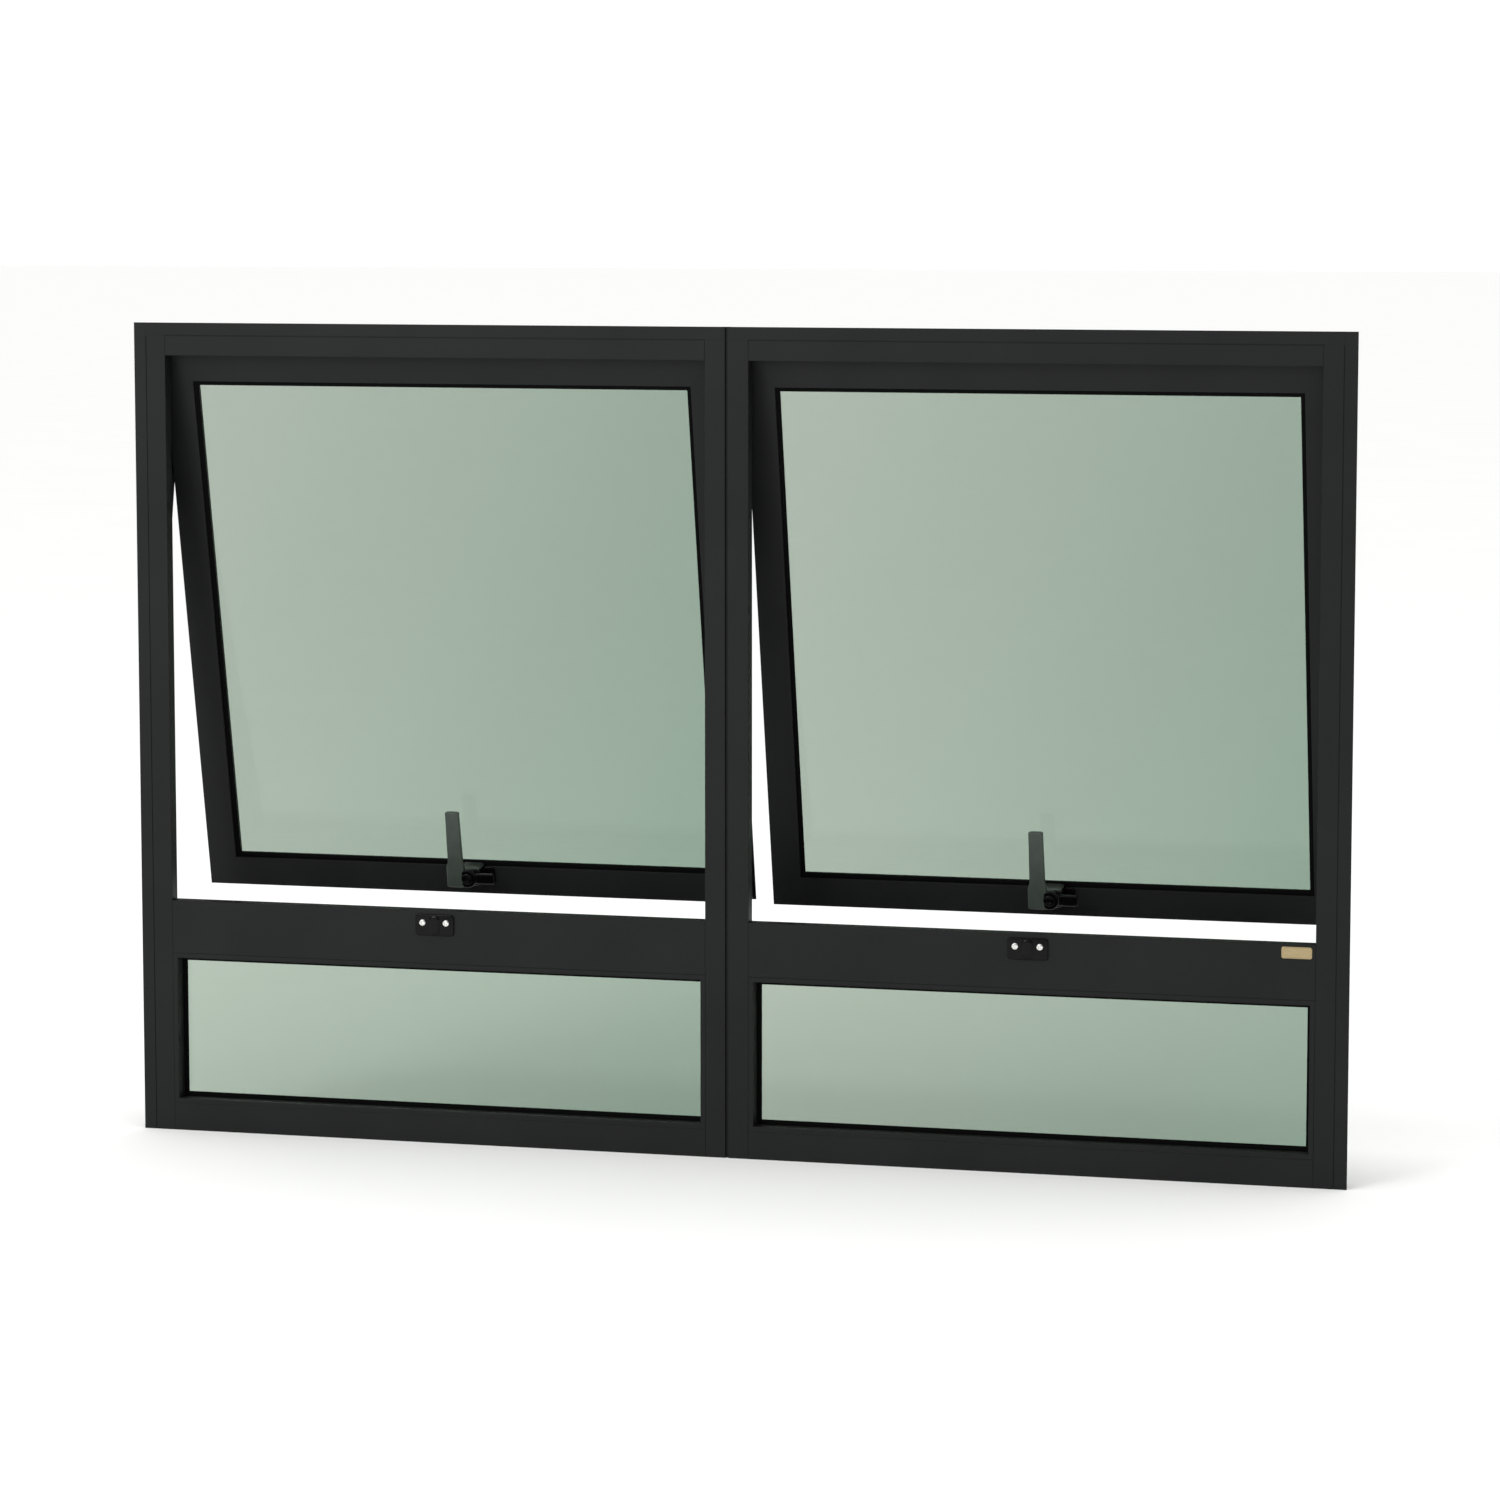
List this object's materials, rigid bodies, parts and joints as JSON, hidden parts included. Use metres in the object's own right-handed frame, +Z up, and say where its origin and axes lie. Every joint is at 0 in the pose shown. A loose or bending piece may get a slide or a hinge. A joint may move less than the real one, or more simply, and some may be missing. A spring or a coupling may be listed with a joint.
{
  "type": "top-hung window",
  "caption": "Black aluminium projecting window: coupled modules, each with a top-hung vent sash on friction stays over a fixed light, with a lever handle and strike.",
  "frame": {"origin": "under the middle of the sill, halfway through the depth of the frame", "axes": "+X to the right as seen from indoors, +Y outdoors, +Z up"},
  "size_m": [1.5, 0.1943, 1],
  "materials": {
    "powder_coated_aluminium": "satin black powder coat",
    "mill_aluminium": "mill",
    "tinted_glass": "pale green float glass",
    "epdm_rubber": "matt",
    "black_nylon": "moulded",
    "stainless_steel": "brushed",
    "bright_screws": "polished",
    "black_casting": "gloss black paint on a die casting",
    "lever_casting": "dark grey-green paint on a die casting",
    "brass_plate": "brushed"
  },
  "bodies": {
    "frame": {"assembly_screws": "bright_screws", "badge": "brass_plate", "coupling_bar": "powder_coated_aluminium", "coupling_screws": "bright_screws", "fixed_inner_beads": "powder_coated_aluminium", "fixed_inner_gaskets": "epdm_rubber", "fixed_outer_beads": "powder_coated_aluminium", "fixed_outer_gaskets": "epdm_rubber", "left_centre_jamb": "powder_coated_aluminium", "left_fixed_glass": "tinted_glass", "left_head": "powder_coated_aluminium", "left_outer_jamb": "powder_coated_aluminium", "left_sill": "powder_coated_aluminium", "left_transom": "powder_coated_aluminium", "right_centre_jamb": "powder_coated_aluminium", "right_fixed_glass": "tinted_glass", "right_head": "powder_coated_aluminium", "right_outer_jamb": "powder_coated_aluminium", "right_sill": "powder_coated_aluminium", "right_transom": "powder_coated_aluminium", "setting_blocks": "black_nylon", "stay_tracks": "stainless_steel", "strike_plates": "black_casting", "strike_screws": "bright_screws", "track_pivots": "stainless_steel", "track_screws": "stainless_steel", "vent_seals": "epdm_rubber", "weep_caps": "black_nylon"},
    "left_stay_arms": {"left_stay_arms": "stainless_steel"},
    "left_sash": {"left_sash_beads": "powder_coated_aluminium", "left_sash_bottom_rail": "powder_coated_aluminium", "left_sash_centre_stile": "powder_coated_aluminium", "left_sash_corner_keys": "mill_aluminium", "left_sash_gaskets": "epdm_rubber", "left_sash_glass": "tinted_glass", "left_sash_outer_stile": "powder_coated_aluminium", "left_sash_setting_blocks": "black_nylon", "left_sash_top_rail": "powder_coated_aluminium", "left_stay_bars": "stainless_steel", "left_stay_pins": "stainless_steel", "left_handle_base": "black_casting", "left_handle_fixings": "bright_screws"},
    "left_stay_shoes": {"left_stay_shoes": "black_nylon"},
    "left_lever": {"left_lever": "lever_casting"},
    "right_stay_arms": {"right_stay_arms": "stainless_steel"},
    "right_sash": {"right_sash_beads": "powder_coated_aluminium", "right_sash_bottom_rail": "powder_coated_aluminium", "right_sash_centre_stile": "powder_coated_aluminium", "right_sash_corner_keys": "mill_aluminium", "right_sash_gaskets": "epdm_rubber", "right_sash_glass": "tinted_glass", "right_sash_outer_stile": "powder_coated_aluminium", "right_sash_setting_blocks": "black_nylon", "right_sash_top_rail": "powder_coated_aluminium", "right_stay_bars": "stainless_steel", "right_stay_pins": "stainless_steel", "right_handle_base": "black_casting", "right_handle_fixings": "bright_screws"},
    "right_stay_shoes": {"right_stay_shoes": "black_nylon"},
    "right_lever": {"right_lever": "lever_casting"}
  },
  "joints": [
    {"name": "left_vent_opening", "type": "hinge", "parent": "frame", "child": "left_stay_arms", "pos_m": [-0.3685, 0.009, 0.703], "axis": [-1, 0, 0], "range_deg": [-12, 33]},
    {"name": "left_sash_pivot", "type": "hinge", "parent": "left_stay_arms", "child": "left_sash", "pos_m": [-0.3685, 0.03603, 0.83016], "axis": [1, 0, 0], "range_deg": [-24, 66]},
    {"name": "left_shoe_pivot", "type": "hinge", "parent": "left_sash", "child": "left_stay_shoes", "pos_m": [-0.3685, 0.009, 0.95732], "axis": [-1, 0, 0], "range_deg": [-12, 33]},
    {"name": "left_handle", "type": "hinge", "parent": "left_sash", "child": "left_lever", "pos_m": [-0.3685, 0.1072, 0.3106], "axis": [0, 0.9781, 0.2079], "range_deg": [0, 90]},
    {"name": "right_vent_opening", "type": "hinge", "parent": "frame", "child": "right_stay_arms", "pos_m": [0.3685, 0.009, 0.703], "axis": [-1, 0, 0], "range_deg": [-12, 33]},
    {"name": "right_sash_pivot", "type": "hinge", "parent": "right_stay_arms", "child": "right_sash", "pos_m": [0.3685, 0.03603, 0.83016], "axis": [1, 0, 0], "range_deg": [-24, 66]},
    {"name": "right_shoe_pivot", "type": "hinge", "parent": "right_sash", "child": "right_stay_shoes", "pos_m": [0.3685, 0.009, 0.95732], "axis": [-1, 0, 0], "range_deg": [-12, 33]},
    {"name": "right_handle", "type": "hinge", "parent": "right_sash", "child": "right_lever", "pos_m": [0.3685, 0.1072, 0.3106], "axis": [0, 0.9781, 0.2079], "range_deg": [0, 90]}
  ],
  "couplings": [
    {"joint": "left_sash_pivot", "follows": "left_vent_opening", "ratio": 2},
    {"joint": "left_shoe_pivot", "follows": "left_vent_opening", "ratio": 1},
    {"joint": "right_sash_pivot", "follows": "right_vent_opening", "ratio": 2},
    {"joint": "right_shoe_pivot", "follows": "right_vent_opening", "ratio": 1}
  ]
}
